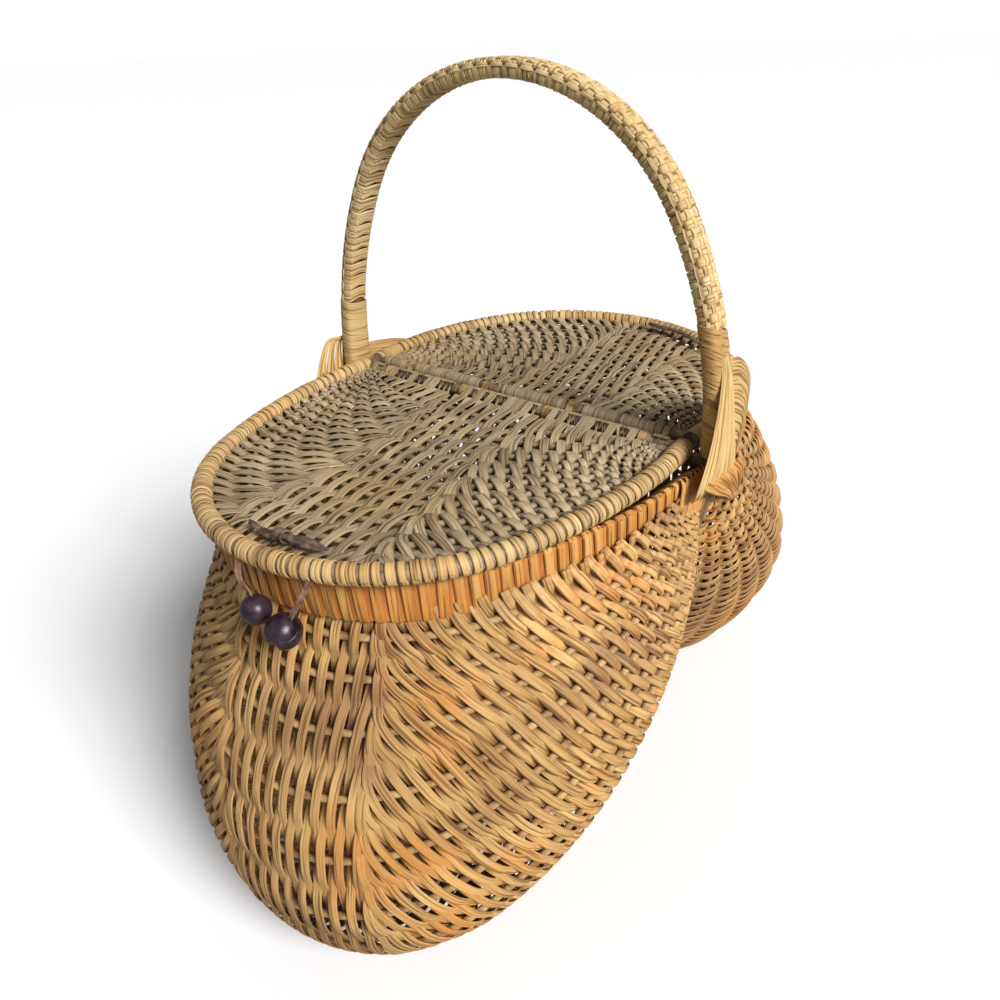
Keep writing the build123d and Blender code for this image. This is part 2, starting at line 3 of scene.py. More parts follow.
import bpy
import numpy as np
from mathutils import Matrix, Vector


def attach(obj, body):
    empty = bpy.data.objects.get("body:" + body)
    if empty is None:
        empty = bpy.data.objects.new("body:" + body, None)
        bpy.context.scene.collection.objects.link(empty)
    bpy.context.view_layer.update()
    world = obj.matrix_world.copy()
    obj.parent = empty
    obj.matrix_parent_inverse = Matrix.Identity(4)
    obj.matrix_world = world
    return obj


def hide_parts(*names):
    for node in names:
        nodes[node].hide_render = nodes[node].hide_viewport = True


# The looks of the woven picnic basket. Each strand of the lobes, lids, handle, rims and ears is a strip of
# cane of its own, laid along the curves that the part's solids follow.

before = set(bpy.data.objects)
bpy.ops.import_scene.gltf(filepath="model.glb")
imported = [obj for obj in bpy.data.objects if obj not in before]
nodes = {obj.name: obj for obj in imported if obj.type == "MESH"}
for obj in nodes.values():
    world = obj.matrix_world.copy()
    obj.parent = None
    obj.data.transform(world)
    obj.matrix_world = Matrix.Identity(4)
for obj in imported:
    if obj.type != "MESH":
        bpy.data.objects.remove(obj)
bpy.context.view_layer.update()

# All shape sizes below are millimetres, as in the part; meshes are made in metres.
MM = 0.001
SIDES = ("front", "rear")
OUT = {"front": -1.0, "rear": 1.0}
SIDEWAYS = np.array([0.0, 1.0, 0.0])

EAR_HALF = 105.0
EAR_HEIGHT = 209.0
EAR_STANDOFF = 9.0

# Reach of a lobe, and the shape of its ribs at the rim, at the belly and along the spine.
REACH_ANGLES = (0, 15, 30, 45, 60, 75, 90)
REACH = {
    "front": (150.5, 171.5, 219.0, 258.5, 241.5, 184.0, 121.0),
    "rear": (128.0, 171.5, 219.0, 258.5, 241.5, 184.0, 121.0),
}
LOBE_LEAN = (3, 20.8, -3.9)
LOBE_ROUNDNESS = (0.85, 0.49, 1.0)
RIB_COUNT = 12
RIB_INSET = 2.6
FIRST_RIB_ANGLE = 8.3
RIB_STEP = 5.35
RIB_STEP_GROWTH = 0.1

RIM_HALF = 103.1
RIM_ROUNDNESS = 0.85
RIM_REACH = {"front": 157.2, "rear": 133.5}

LID_HALF = 93.5
LID_BAR_LINE = 3.6
LID_REACH = {"front": 160.8, "rear": 135.0}
LID_LEAN = {"front": 5.0, "rear": 9.0}
LID_Z = EAR_HEIGHT + 9.2
PANEL_HALF = 88.0
PANEL_BAR_LINE = 7.7
PANEL_RIM_INSET = 4.25

ARCH_RISE = 152.6
ARCH_LEAN = 3.9
ARCH_ROUNDNESS = 1.02
FOOT_TOP = {"right": 62.0, "left": 43.0}

CANE_WIDTH = 4.1
CANE_THICKNESS = 0.9

# Seeds of the small random differences between strands.
LOBE_SEED = {"front": 11, "rear": 12}
LID_SEED = {"front": 21, "rear": 22}
HANDLE_SEED, FEET_SEED = 31, 32
RIM_SEED = {"front": 41, "rear": 42}
LID_RIM_SEED = {"front": 51, "rear": 52}
EAR_SEED = {"right": 61, "left": 62}


# Curves of the basket

def between(top, belly, spine, angle):
    """A value that goes from the rim to the spine by way of the belly."""
    straight = top + (spine - top) * angle / 90
    return straight + (belly - (top + spine) / 2) * math.sin(math.radians(2 * angle))


def smooth_value(x, knots, values):
    """A value on the smooth line through the knots."""
    last = len(knots) - 1
    i = max(k for k in range(last) if x >= knots[k] or k == 0)
    step = knots[i + 1] - knots[i]
    before, after = max(i - 1, 0), min(i + 2, last)
    slope_in = (values[i + 1] - values[before]) / (knots[i + 1] - knots[before])
    slope_out = (values[after] - values[i]) / (knots[after] - knots[i])
    t = (x - knots[i]) / step
    rise = values[i + 1] - values[i]
    square = 3 * rise - (2 * slope_in + slope_out) * step
    cubic = (slope_in + slope_out) * step - 2 * rise
    return values[i] + slope_in * step * t + square * t**2 + cubic * t**3


def curve_through(points, count):
    """Smooth line through a few points, with count steps between each two."""
    points = np.asarray(points, float)
    padded = np.concatenate([[2 * points[0] - points[1]], points, [2 * points[-1] - points[-2]]])
    found = []
    for i in range(len(points) - 1):
        p0, p1, p2, p3 = padded[i:i + 4]
        for t in np.arange(count) / count:
            found.append(0.5 * (2 * p1 + (p2 - p0) * t + (2 * p0 - 5 * p1 + 4 * p2 - p3) * t**2
                                + (3 * p1 - p0 - 3 * p2 + p3) * t**3))
    found.append(points[-1])
    return np.array(found)


def eased(x):
    """0 to 1 with a soft start and end."""
    x = np.clip(x, 0.0, 1.0)
    return x * x * (3 - 2 * x)


class Bow:
    """Two tangent arcs from the right end to the crown, and their mirror image, in X and outwards."""

    def __init__(self, half_span, lean, reach, roundness, proud=0.0, rise=0.0):
        lean = math.radians(lean)
        start, start_dir = np.array([half_span, rise]), np.array([math.sin(lean), math.cos(lean)])
        crown, crown_dir = np.array([0.0, reach]), np.array([-1.0, 0.0])
        handles = start_dir + crown_dir * roundness
        chord = crown - start
        square = handles @ handles - (1 + roundness) ** 2
        linear = -2 * chord @ handles
        length = (-linear - math.sqrt(linear**2 - 4 * square * (chord @ chord))) / (2 * square)
        first, second = start + start_dir * length, crown - crown_dir * (length * roundness)
        joint = first + (second - first) / (1 + roundness)
        joint_dir = (second - first) / np.linalg.norm(second - first)
        shifted = [p + np.array([d[1], -d[0]]) * proud
                   for p, d in ((start, start_dir), (joint, joint_dir), (crown, crown_dir))]
        self.arcs = [self.arc(shifted[0], start_dir, shifted[1]), self.arc(shifted[1], joint_dir, shifted[2])]
        self.half = self.arcs[0][3] + self.arcs[1][3]
        self.length = 2 * self.half

    @staticmethod
    def arc(start, way, end):
        """Start, heading, curvature and length of the arc that leaves start along way and reaches end."""
        chord = end - start
        bend = math.atan2(way[0] * chord[1] - way[1] * chord[0], way @ chord)
        span = np.linalg.norm(chord)
        length = span * bend / math.sin(bend) if abs(bend) > 1e-9 else span
        return start, math.atan2(way[1], way[0]), 2 * bend / length, length

    def at(self, distance):
        """Place and outward direction, each (along X, outwards), at a distance from the right end."""
        mirrored = distance > self.half
        x = self.length - distance if mirrored else distance
        start, heading, curve, length = self.arcs[0]
        if x > length:
            x -= length
            start, heading, curve, length = self.arcs[1]
        turned = heading + curve * x
        if abs(curve) > 1e-9:
            place = start + np.array([math.sin(turned) - math.sin(heading),
                                      math.cos(heading) - math.cos(turned)]) / curve
        else:
            place = start + np.array([math.cos(heading), math.sin(heading)]) * x
        normal = np.array([math.sin(turned), -math.cos(turned)])
        flip = np.array([-1.0 if mirrored else 1.0, 1.0])
        return place * flip, normal * flip


def rib_angle(turn):
    """Angle below the rim of a place counted in ribs; the spine counts as the last rib."""
    last = RIB_COUNT - 1
    if turn > last:
        last_angle = FIRST_RIB_ANGLE + RIB_STEP * last + RIB_STEP_GROWTH * last**2
        return last_angle + (90 - last_angle) * (turn - last)
    return FIRST_RIB_ANGLE + RIB_STEP * turn + RIB_STEP_GROWTH * turn * abs(turn)


def lobe_bow(side, angle):
    """Line across a lobe's ribs at an angle below the rim."""
    angle = min(angle, 89.9)
    reach = smooth_value(angle, REACH_ANGLES, REACH[side])
    low, high = max(angle - 1, 0.0), min(angle + 1, 90.0)
    change = smooth_value(high, REACH_ANGLES, REACH[side]) - smooth_value(low, REACH_ANGLES, REACH[side])
    slant = math.sqrt(1 + (change / math.radians(high - low) / reach) ** 2)
    lean, roundness = between(*LOBE_LEAN, angle), between(*LOBE_ROUNDNESS, angle)
    return Bow(EAR_HALF, lean, reach, roundness, -RIB_INSET * slant, EAR_STANDOFF)


def panel_bow(side, share):
    """Line across a lid's panel at a share of the way from its bar to its rim."""
    share = max(share, 0.03)
    rim_line = LID_REACH[side] - PANEL_RIM_INSET
    lean = 90 * (share**0.6 - 1) + LID_LEAN[side] * share
    reach = PANEL_BAR_LINE + (rim_line - PANEL_BAR_LINE) * share
    return Bow(PANEL_HALF, lean, reach, 1.0, 0.0, PANEL_BAR_LINE)


def rim_bow(side, proud=0.0):
    """Line of the basket's rim."""
    return Bow(RIM_HALF, 0.0, RIM_REACH[side], RIM_ROUNDNESS, proud)


def lid_rim_bow(side, proud=0.0):
    """Line of a lid's rim rod."""
    return Bow(LID_HALF, LID_LEAN[side], LID_REACH[side], 1.0, proud, LID_BAR_LINE)


def arch_bow():
    """Line of the handle above the ears."""
    return Bow(EAR_HALF, ARCH_LEAN, ARCH_RISE, ARCH_ROUNDNESS)


def arch_frame(arch, distance):
    """Place on the handle's line, and the direction away from the hand."""
    (x, up), (normal_x, normal_up) = arch.at(distance)
    return np.array([x, 0.0, EAR_HEIGHT + up]), np.array([normal_x, 0.0, normal_up])


def distance_at_height(arch, height, right=True):
    """Distance along the handle at which one leg reaches a height above the ears."""
    low, high = 0.0, arch.half
    for _ in range(30):
        middle = (low + high) / 2
        if arch.at(middle)[0][1] < height:
            low = middle
        else:
            high = middle
    return low if right else arch.length - low


# Cane strips

SMOOTH_ANGLE = math.radians(34)
STRIP_VALUES = ("cane_across", "cane_along", "cane_tone", "cane_depth")


class Strips:
    """Collects flat strips, each a ring of section points carried along a line, into one mesh."""

    SECTION = np.array([(-0.5, -0.1), (-0.4, 0.44), (0.0, 0.5), (0.4, 0.44), (0.5, -0.1), (0.36, -0.5),
                        (-0.36, -0.5)])

    def __init__(self):
        self.verts, self.faces, self.values, self.count = [], [], [], 0

    def add(self, points, outward, width, thickness, tone, depth=0.0, closed=False):
        """One strip; outward is the direction that its face looks, for all points or for each."""
        points = np.asarray(points, float)
        steps = len(points)
        if closed:
            along = np.roll(points, -1, 0) - np.roll(points, 1, 0)
        else:
            along = np.gradient(points, axis=0)
        along /= np.linalg.norm(along, axis=1)[:, None] + 1e-12
        outward = np.broadcast_to(np.asarray(outward, float), points.shape)
        wide = np.cross(along, outward)
        wide /= np.linalg.norm(wide, axis=1)[:, None] + 1e-12
        thick = np.cross(wide, along)
        width = np.broadcast_to(np.asarray(width, float), steps)
        section = self.SECTION
        ring = len(section)
        verts = (points[:, None, :] + wide[:, None, :] * (section[:, 0] * width[:, None])[:, :, None]
                 + thick[:, None, :] * (section[:, 1] * thickness)[None, :, None])
        self.verts.append(verts.reshape(-1, 3))
        self.note_values(points, width, tone, depth)
        a = np.arange(steps - (0 if closed else 1))
        b = (a + 1) % steps
        j = np.arange(ring)
        k = (j + 1) % ring
        first, second = self.count + a[:, None] * ring, self.count + b[:, None] * ring
        quads = np.stack([first + j, second + j, second + k, first + k], axis=-1).reshape(-1, 4)
        self.faces.extend(quads[:, ::-1].tolist())
        if not closed:
            self.faces.append((self.count + j).tolist())
            self.faces.append((self.count + (steps - 1) * ring + j)[::-1].tolist())
        self.count += steps * ring

    def note_values(self, points, width, tone, depth):
        """What the cane material reads: place across and along the strip, its tone, and its depth, which sets
        its painted shade where it dips.
        """
        steps, ring = len(points), len(self.SECTION)
        travelled = np.concatenate([[0.0], np.cumsum(np.linalg.norm(np.diff(points, axis=0), axis=1))])
        values = np.empty((steps, ring, 4))
        values[:, :, 0] = self.SECTION[:, 0] * width[:, None]
        values[:, :, 1] = travelled[:, None]
        values[:, :, 2] = tone
        values[:, :, 3] = np.broadcast_to(np.asarray(depth, float), steps)[:, None]
        self.values.append(values.reshape(-1, 4))

    def build(self, name, body, slot, material, *replaced):
        """Makes the mesh, which rides on a body and shows in place of the replaced nodes."""
        mesh = bpy.data.meshes.new(name)
        mesh.from_pydata((np.concatenate(self.verts) * MM).tolist(), [], self.faces)
        values = np.concatenate(self.values)
        for column, label in enumerate(STRIP_VALUES):
            layer = mesh.attributes.new(label, "FLOAT", "POINT")
            layer.data.foreach_set("value", values[:, column].astype(np.float32))
        mesh.polygons.foreach_set("use_smooth", [True] * len(mesh.polygons))
        mesh.materials.append(material)
        mesh.validate()
        piece = bpy.data.objects.new(name, mesh)
        bpy.context.scene.collection.objects.link(piece)
        bpy.ops.object.select_all(action="DESELECT")
        piece.select_set(True)
        bpy.context.view_layer.objects.active = piece
        bpy.ops.object.shade_smooth_by_angle(angle=SMOOTH_ANGLE)
        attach(piece, body)
        if replaced:
            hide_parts(*replaced)


# Materials

# Colour of the painted shade: the cane darkens towards it under crossings, along strand edges and in the
# grooves of its fibres.
PAINTED_SHADE_COLOUR = (0.2, 0.13, 0.08, 1.0)
FIBRE_STREAK = 0.55


def linear(red, green, blue):
    """A colour as seen, 0 to 255, as the shader's own value."""
    return tuple((c / 255) ** 2.2 for c in (red, green, blue)) + (1.0,)


class Wiring:
    """Adds nodes to one shader tree and joins them."""

    def __init__(self, tree):
        self.nodes, self.link = tree.nodes, tree.links.new

    def feed(self, sockets, values):
        """Gives each socket its number or colour, or the socket that it reads."""
        for socket, value in zip(sockets, values):
            if isinstance(value, (int, float, tuple)):
                socket.default_value = value
            elif value is not None:
                self.link(value, socket)

    def maths(self, kind, a, b=None, c=None, clamp=False):
        node = self.nodes.new("ShaderNodeMath")
        node.operation, node.use_clamp = kind, clamp
        self.feed(node.inputs, (a, b, c))
        return node.outputs[0]

    def mixed(self, kind, factor, a, b):
        node = self.nodes.new("ShaderNodeMix")
        node.data_type, node.blend_type = "RGBA", kind
        self.feed((node.inputs[0], node.inputs[6], node.inputs[7]), (factor, a, b))
        return node.outputs[2]

    def noise(self, vector, scale, detail):
        node = self.nodes.new("ShaderNodeTexNoise")
        self.feed([node.inputs[label] for label in ("Vector", "Scale", "Detail")], (vector, scale, detail))
        return node.outputs["Fac"]

    def attribute(self, label):
        node = self.nodes.new("ShaderNodeAttribute")
        node.attribute_name = label
        return node.outputs["Fac"]

    def steep(self, value, slope):
        """A value with its contrast about the middle raised."""
        return self.maths("MULTIPLY_ADD", self.maths("SUBTRACT", value, 0.5), slope, 0.5, clamp=True)

    def span(self, value, **ends):
        """A value carried from one span to another."""
        node = self.nodes.new("ShaderNodeMapRange")
        for label, end in ends.items():
            node.inputs[label.replace("_", " ").title()].default_value = end
        self.link(value, node.inputs["Value"])
        return node.outputs[0]

    def ridges(self, height, strength, distance, surface):
        """Raises a height on a surface."""
        node = self.nodes.new("ShaderNodeBump")
        labels = ("Strength", "Distance", "Height")
        self.feed([node.inputs[label] for label in labels], (strength, distance, height))
        self.link(node.outputs["Normal"], surface.inputs["Normal"])


def fibre_group():
    """Cane: long fibres, patches of age, and painted shade in the crossings, along the edges and in the fibre
    grooves.
    """
    group = bpy.data.node_groups.new("cane_fibre", "ShaderNodeTree")
    sockets = (("INPUT", "NodeSocketColor", ("Light", "Dark", "Patch", "Glow")),
               ("INPUT", "NodeSocketFloat", ("Patch amount", "Patch size", "Crossing shade")),
               ("OUTPUT", "NodeSocketColor", ("Color",)),
               ("OUTPUT", "NodeSocketFloat", ("Roughness", "Height")))
    for way, kind, names in sockets:
        for name in names:
            group.interface.new_socket(name=name, in_out=way, socket_type=kind)
    w = Wiring(group)
    maths = w.maths
    given, out = w.nodes.new("NodeGroupInput").outputs, w.nodes.new("NodeGroupOutput").inputs
    across, along, tone, depth = (w.attribute(label) for label in STRIP_VALUES)
    place = w.nodes.new("ShaderNodeTexCoord").outputs["Object"]

    # Fibres run along the strip, and each strip has its own.
    line = w.nodes.new("ShaderNodeCombineXYZ")
    w.feed(line.inputs, (maths("MULTIPLY", across, 0.8), maths("MULTIPLY", along, 0.022),
                         maths("MULTIPLY", tone, 61.0)))
    coarse = w.steep(w.noise(line.outputs[0], 1.1, 1.0), 3.6)
    fine = w.steep(w.noise(line.outputs[0], 3.4, 2.0), 3.0)
    streak = maths("ADD", maths("MULTIPLY", coarse, 0.6), maths("MULTIPLY", fine, 0.4))

    # Light and dark of fibre, strip and place
    wide = w.steep(w.noise(place, 11.0, 3.0), 3.0)
    lightness = maths("MULTIPLY_ADD", tone, 0.34, maths("MULTIPLY", streak, FIBRE_STREAK))
    lightness = maths("MULTIPLY_ADD", wide, 0.3, lightness)
    lightness = maths("SUBTRACT", lightness, 0.1, clamp=True)
    colour = w.mixed("MIX", lightness, given["Dark"], given["Light"])

    # Patches of age, and places where the cane glows
    blotch = w.noise(place, given["Patch size"], 3.0)
    patch = maths("MULTIPLY", maths("SUBTRACT", blotch, 0.48, clamp=True), 6.0, clamp=True)
    patch = maths("MULTIPLY", patch, maths("MULTIPLY_ADD", tone, 0.9, 0.3), clamp=True)
    patch = maths("MULTIPLY", patch, given["Patch amount"], clamp=True)
    colour = w.mixed("MIX", patch, colour, given["Patch"])
    glow = maths("MULTIPLY", maths("SUBTRACT", 0.47, blotch, clamp=True), 7.0, clamp=True)
    glow = maths("MULTIPLY", glow, maths("MULTIPLY_ADD", coarse, 0.5, 0.4), clamp=True)
    glow = maths("MULTIPLY", glow, given["Patch amount"], clamp=True)
    colour = w.mixed("MIX", glow, colour, given["Glow"])

    # Painted shade: dark where a strand dips under the ribs, along its edges and in the grooves of its fibres
    dip = maths("MULTIPLY", maths("SUBTRACT", 0.1, depth, clamp=True), given["Crossing shade"], clamp=True)
    # Painted shade along the strand's edges, in the narrow gaps between neighbouring strands.
    edge = maths("POWER", maths("ABSOLUTE", maths("MULTIPLY", across, 0.52)), 6.0, clamp=True)
    # Painted shade in the grooves of the fibres, where the bump height is lowest.
    groove_shade = maths("MULTIPLY", maths("SUBTRACT", 0.22, coarse, clamp=True), 2.6, clamp=True)
    shade = maths("MAXIMUM", maths("MAXIMUM", dip, maths("MULTIPLY", edge, 0.4)), groove_shade)
    # The painted shade darkens the cane's colour towards the painted shade colour.
    w.link(w.mixed("MULTIPLY", shade, colour, PAINTED_SHADE_COLOUR), out["Color"])
    w.link(maths("MULTIPLY_ADD", fine, 0.25, 0.45), out["Roughness"])
    w.link(streak, out["Height"])
    return group


FIBRE = fibre_group()


def new_material(name):
    """A material, the wiring of its nodes, and its surface."""
    material = bpy.data.materials.new(name)
    material.use_nodes = True
    return material, Wiring(material.node_tree), material.node_tree.nodes["Principled BSDF"]


def cane(name, light, dark, patch, glow, amount, size, crossing=0.8):
    """A cane material with its own colours; amount and size are of its patches, crossing is the strength of
    its painted shade where strands dip.
    """
    material, w, surface = new_material(name)
    fibre = w.nodes.new("ShaderNodeGroup")
    fibre.node_tree = FIBRE
    values = {"Light": linear(*light), "Dark": linear(*dark), "Patch": linear(*patch), "Glow": linear(*glow),
              "Patch amount": amount, "Patch size": size, "Crossing shade": crossing}
    for label, value in values.items():
        fibre.inputs[label].default_value = value
    w.ridges(fibre.outputs["Height"], 0.5, 0.0004, surface)
    w.link(fibre.outputs["Color"], surface.inputs["Base Color"])
    w.link(fibre.outputs["Roughness"], surface.inputs["Roughness"])
    surface.inputs["Specular IOR Level"].default_value = 0.35
    return material


def solid_finish(name, light, dark, scale, stretch=(1.0, 1.0, 1.0), rough=(0.45, 0.7), bump=0.3):
    """Two colours in streaks, for rods, bands, leather and beads."""
    material, w, surface = new_material(name)
    place, mapping = w.nodes.new("ShaderNodeTexCoord"), w.nodes.new("ShaderNodeMapping")
    mapping.inputs["Scale"].default_value = stretch
    w.link(place.outputs["Object"], mapping.inputs["Vector"])
    grain = w.noise(mapping.outputs[0], scale, 5.0)
    tint = w.mixed("MIX", w.span(grain, from_min=0.35, from_max=0.65), linear(*dark), linear(*light))
    w.link(tint, surface.inputs["Base Color"])
    w.link(w.span(grain, to_min=rough[0], to_max=rough[1]), surface.inputs["Roughness"])
    w.ridges(grain, bump, 0.0006, surface)
    return material


body_cane = cane("body_cane", (240, 198, 130), (146, 98, 50), (144, 102, 70), (218, 138, 62), 0.8, 20.0)
lid_cane = cane("lid_cane", (208, 184, 148), (112, 90, 64), (136, 114, 90), (180, 146, 98), 0.6, 24.0)
handle_cane = cane("handle_cane", (248, 222, 168), (176, 140, 86), (202, 170, 110), (226, 178, 104), 0.6,
                   16.0, crossing=1.3)
rim_cane = cane("rim_cane", (234, 182, 106), (160, 100, 44), (182, 114, 52), (220, 134, 50), 0.7, 22.0)
edge_cane = cane("edge_cane", (240, 206, 146), (146, 108, 62), (172, 140, 96), (216, 168, 98), 0.6, 20.0)
# A darker, more orange copy of the handle's cane for the right foot's turns: the orange is the cane's own,
# the darkness is painted shade.
shaded_foot_cane = cane("shaded_foot_cane", (226, 186, 122), (136, 94, 48), (160, 116, 64), (206, 146, 74), 0.7, 24.0)
strap_cane = cane("strap_cane", (242, 208, 142), (170, 122, 64), (198, 146, 82), (224, 160, 78), 0.5, 22.0)
fold_cane = cane("fold_cane", (234, 182, 106), (172, 112, 52), (200, 134, 64), (228, 156, 72), 0.6, 22.0)
rod_finish = solid_finish("rod_finish", (206, 168, 112), (136, 100, 62), 220.0)
lid_rod_finish = solid_finish("lid_rod_finish", (170, 148, 116), (104, 84, 60), 220.0)
band_finish = solid_finish("band_finish", (214, 140, 66), (168, 100, 44), 620.0, (1.0, 1.0, 0.05), bump=0.7)
leather = solid_finish("leather", (128, 106, 92), (50, 38, 34), 240.0, rough=(0.5, 0.8), bump=0.7)
lace_finish = solid_finish("lace_finish", (168, 126, 104), (92, 60, 48), 260.0, rough=(0.55, 0.8), bump=0.6)
bead_finish = solid_finish("bead_finish", (70, 52, 62), (20, 14, 24), 170.0, rough=(0.22, 0.5), bump=0.6)
hoop_finish = solid_finish("hoop_finish", (150, 116, 70), (96, 70, 42), 200.0)


# Weaving

STEPS_PER_RIB = 8
LOBE_PITCH = 3.5
LID_PITCH = 3.6
RIB_CLEAR = 1.95
SPINE_CLEAR = 3.7
SPINE_LIFT = 2.5
STRAND_STRAY = 0.12
STRAND_SWAY = 0.18
END_BEYOND = 0.45           # ribs that a strand runs on past its last crossing
END_FADE = 0.5              # ribs over which its end dips under
END_DIP = 1.7               # of its rise over a rib
GATHER_START = 2.2
GATHER_SOFTNESS = 3.0
GATHER_STACK = 0.3


class Panel:
    """Woven surface that strands cross from one edge to the other, counted in ribs."""

    def __init__(self, bows, place, turns, height, facing, lead=None):
        self.bows, self.place, self.turns = bows, place, turns
        self.height, self.facing, self.lead = height, facing, lead
        self.half = np.array([b.half for b in bows])
        self.length = 2 * self.half

    def across_at(self, x):
        """Distance from the right end at which each line reaches x, near the crown."""
        found = []
        for bow in self.bows:
            low, high = 0.25 * bow.half, 2 * bow.half - 0.25 * bow.half
            for _ in range(18):
                middle = (low + high) / 2
                if bow.at(middle)[0][0] > x:
                    low = middle
                else:
                    high = middle
            found.append((low + high) / 2)
        return np.array(found)


def lobe_panel(side):
    """A lobe from just above its rim to the spine."""
    turns = np.arange(-7, RIB_COUNT * STEPS_PER_RIB + 1) / STEPS_PER_RIB
    angles = [rib_angle(t) for t in turns]
    bows = [lobe_bow(side, a) for a in angles]
    middle = np.array([0, 0, EAR_HEIGHT + 20])

    def place(i, distance):
        (x, reach), _ = bows[i].at(distance)
        angle = math.radians(angles[i])
        return (x, OUT[side] * reach * math.cos(angle), EAR_HEIGHT - reach * math.sin(angle))

    def height(t, distance):
        """How far a strand rises over a rib and how far it is lifted, both more along the spine."""
        near = np.clip((distance + 9) / 52, 0.35, 1)
        spine = eased((t - 11.2) / 0.8)
        return RIB_CLEAR * near * (1 - spine) + SPINE_CLEAR * spine, SPINE_LIFT * spine

    return Panel(bows, place, turns, height, lambda points: points - middle)


LID_TURNS = 9
LOOP_X = (-75, -25, 25, 75)
REAR_LOOP_SHIFT = 7


def lid_panel(side):
    """A lid from its bar to its rim."""
    turns = np.arange(0, LID_TURNS * STEPS_PER_RIB + 1) / STEPS_PER_RIB
    bows = [panel_bow(side, t / LID_TURNS) for t in turns]
    out = OUT[side]
    loops = [x + (REAR_LOOP_SHIFT if side == "rear" else 0) for x in LOOP_X]

    def place(i, distance):
        (x, reach), _ = bows[i].at(distance)
        return (x, out * reach, LID_Z - 1.0)

    def height(t, distance):
        return np.full(len(t), 1.7), np.zeros(len(t))

    def facing(points):
        return np.tile([0.0, 0.0, 1.0], (len(points), 1))

    def lead(start):
        """The strand's end, wound over the lid's bar where no hinge loop is."""
        if min(abs(start[0] - x) for x in loops) < 3.2:
            return None
        bar = np.array([start[0], out * 5.2, LID_Z])
        turned = np.radians((215, 185, 155, 125, 98, 74))
        looks = np.stack([np.zeros(6), out * np.cos(turned), np.sin(turned)], axis=1)
        return bar + looks * 3.05, looks

    return Panel(bows, place, turns, height, facing, lead)


def runs(mask):
    """Start and end of each unbroken stretch of a mask."""
    edges = np.flatnonzero(np.diff(np.concatenate([[0], mask.astype(int), [0]])))
    return list(zip(edges[::2], edges[1::2] - 1))


def weave_row(panel, strips, rng, number, distances, mask, gore):
    """One strand over and under the ribs, gathered along the gore line where it turns back."""
    turns = panel.turns
    for first, last in runs(mask):
        open_start, open_end = first == 0, last == len(turns) - 1
        if not open_start:
            first = max(0, int(np.argmin(abs(turns - (math.floor(turns[first]) - END_BEYOND)))))
        if not open_end:
            last = min(len(turns) - 1, int(np.argmin(abs(turns - (math.ceil(turns[last]) + END_BEYOND)))))
        if last - first < STEPS_PER_RIB:
            continue
        part = np.arange(first, last + 1)
        t = turns[part]
        stray = rng.normal(0, STRAND_STRAY)
        d = distances[part] + stray + STRAND_SWAY * np.sin(t * rng.uniform(0.7, 1.4) + rng.uniform(0, 6))
        gathered = np.zeros(len(t))
        if gore is not None:
            line, sign = gore
            past = (d - line[part]) * sign
            over = np.clip((past + GATHER_START) / GATHER_SOFTNESS, -20, 20)
            d = d - sign * (np.log1p(np.exp(over)) * GATHER_SOFTNESS)
            gathered = eased((past + 3.0) / 6.0)
        centre, normal = row_centre(panel, part, d)
        swing = over_and_under(t, number)
        if panel.lead and swing[0] < 0:
            swing = np.where(t < 1, 1.0, swing)
        ends = np.zeros(len(t))
        if not open_start:
            ends += 1 - eased((t - t[0]) / END_FADE)
        if not open_end:
            ends += 1 - eased((t[-1] - t) / END_FADE)
        rise, lift = panel.height(t, d)
        offset = lift + rise * swing + gathered * GATHER_STACK * (number % 3) - ends * END_DIP * rise
        line = centre + normal * offset[:, None]
        # The depth sets the painted shade: the strand is darkened where it passes under a rib.
        depth = np.clip(swing - ends, -1.3, 1.2) + 0.35
        leading = panel.lead(line[0]) if panel.lead and open_start else None
        if leading:
            line, normal = np.concatenate([leading[0], line]), np.concatenate([leading[1], normal])
            depth = np.concatenate([np.full(len(leading[0]), 0.8), depth])
        strips.add(line, normal, CANE_WIDTH, CANE_THICKNESS, rng.uniform(0, 1), depth)


def row_centre(panel, part, distances):
    """A strand's line on the panel, and the way the panel faces along it."""
    centre = np.array([panel.place(i, s) for i, s in zip(part, distances)])
    beside = np.array([panel.place(i, s + 0.5) for i, s in zip(part, distances)])
    normal = np.cross(np.gradient(centre, axis=0), beside - centre)
    normal /= np.linalg.norm(normal, axis=1)[:, None]
    return centre, -normal if (normal * panel.facing(centre)).sum() < 0 else normal


def over_and_under(t, number):
    """1 over a rib and -1 under it, broad on top and narrow below; every second strand is the other way."""
    swing = np.cos(np.pi * t) * (-1) ** number
    return np.where(swing > 0, swing * (1.5 - 0.5 * swing**2), -abs(swing) ** 2.4)


def panel_rows(panel, right_x, left_x, pitch, edge, middle_start, middle_count, spread=1.0):
    """Rows from the right ear, from the left ear, and between the gores, where the first two turn back."""
    groups = []
    for gore, from_left in ((panel.half - right_x, False), (panel.half + left_x, True)):
        rows = []
        for number in range(int(gore.max() / pitch)):
            own = edge + number * pitch * spread + 0 * panel.turns
            line = (panel.length - gore, -1.0) if from_left else (gore, 1.0)
            rows.append((number, panel.length - own if from_left else own, own < gore, line))
        groups.append(rows)
    rows = []
    for number in range(middle_count):
        x = middle_start + number * pitch
        mask = (x < right_x - 1) & (x > left_x + 1)
        if mask.any():
            rows.append((number, panel.across_at(x), mask, None))
    return groups + [rows]


RIM_SPREAD = 0.16           # how much wider apart a lobe's strands lie at the rim

# Where the gores lie, in millimetres right and left of the middle, at places counted in ribs.
LOBE_GORE_TURNS = (-1, 3, 6, 8, 10, 12)
LOBE_GORE_RIGHT = (42, 50, 56, 52, 46, 42)
LOBE_GORE_LEFT = (17, 17, 10, 12, 18, 22)
LID_GORE_TURNS = (0, 3, 6, 9)
LID_GORE_RIGHT = {"front": (26, 24, 34, 40), "rear": (36, 42, 46, 50)}
LID_GORE_LEFT = {"front": (28, 20, 18, 26), "rear": (10, 6, 2, 0)}


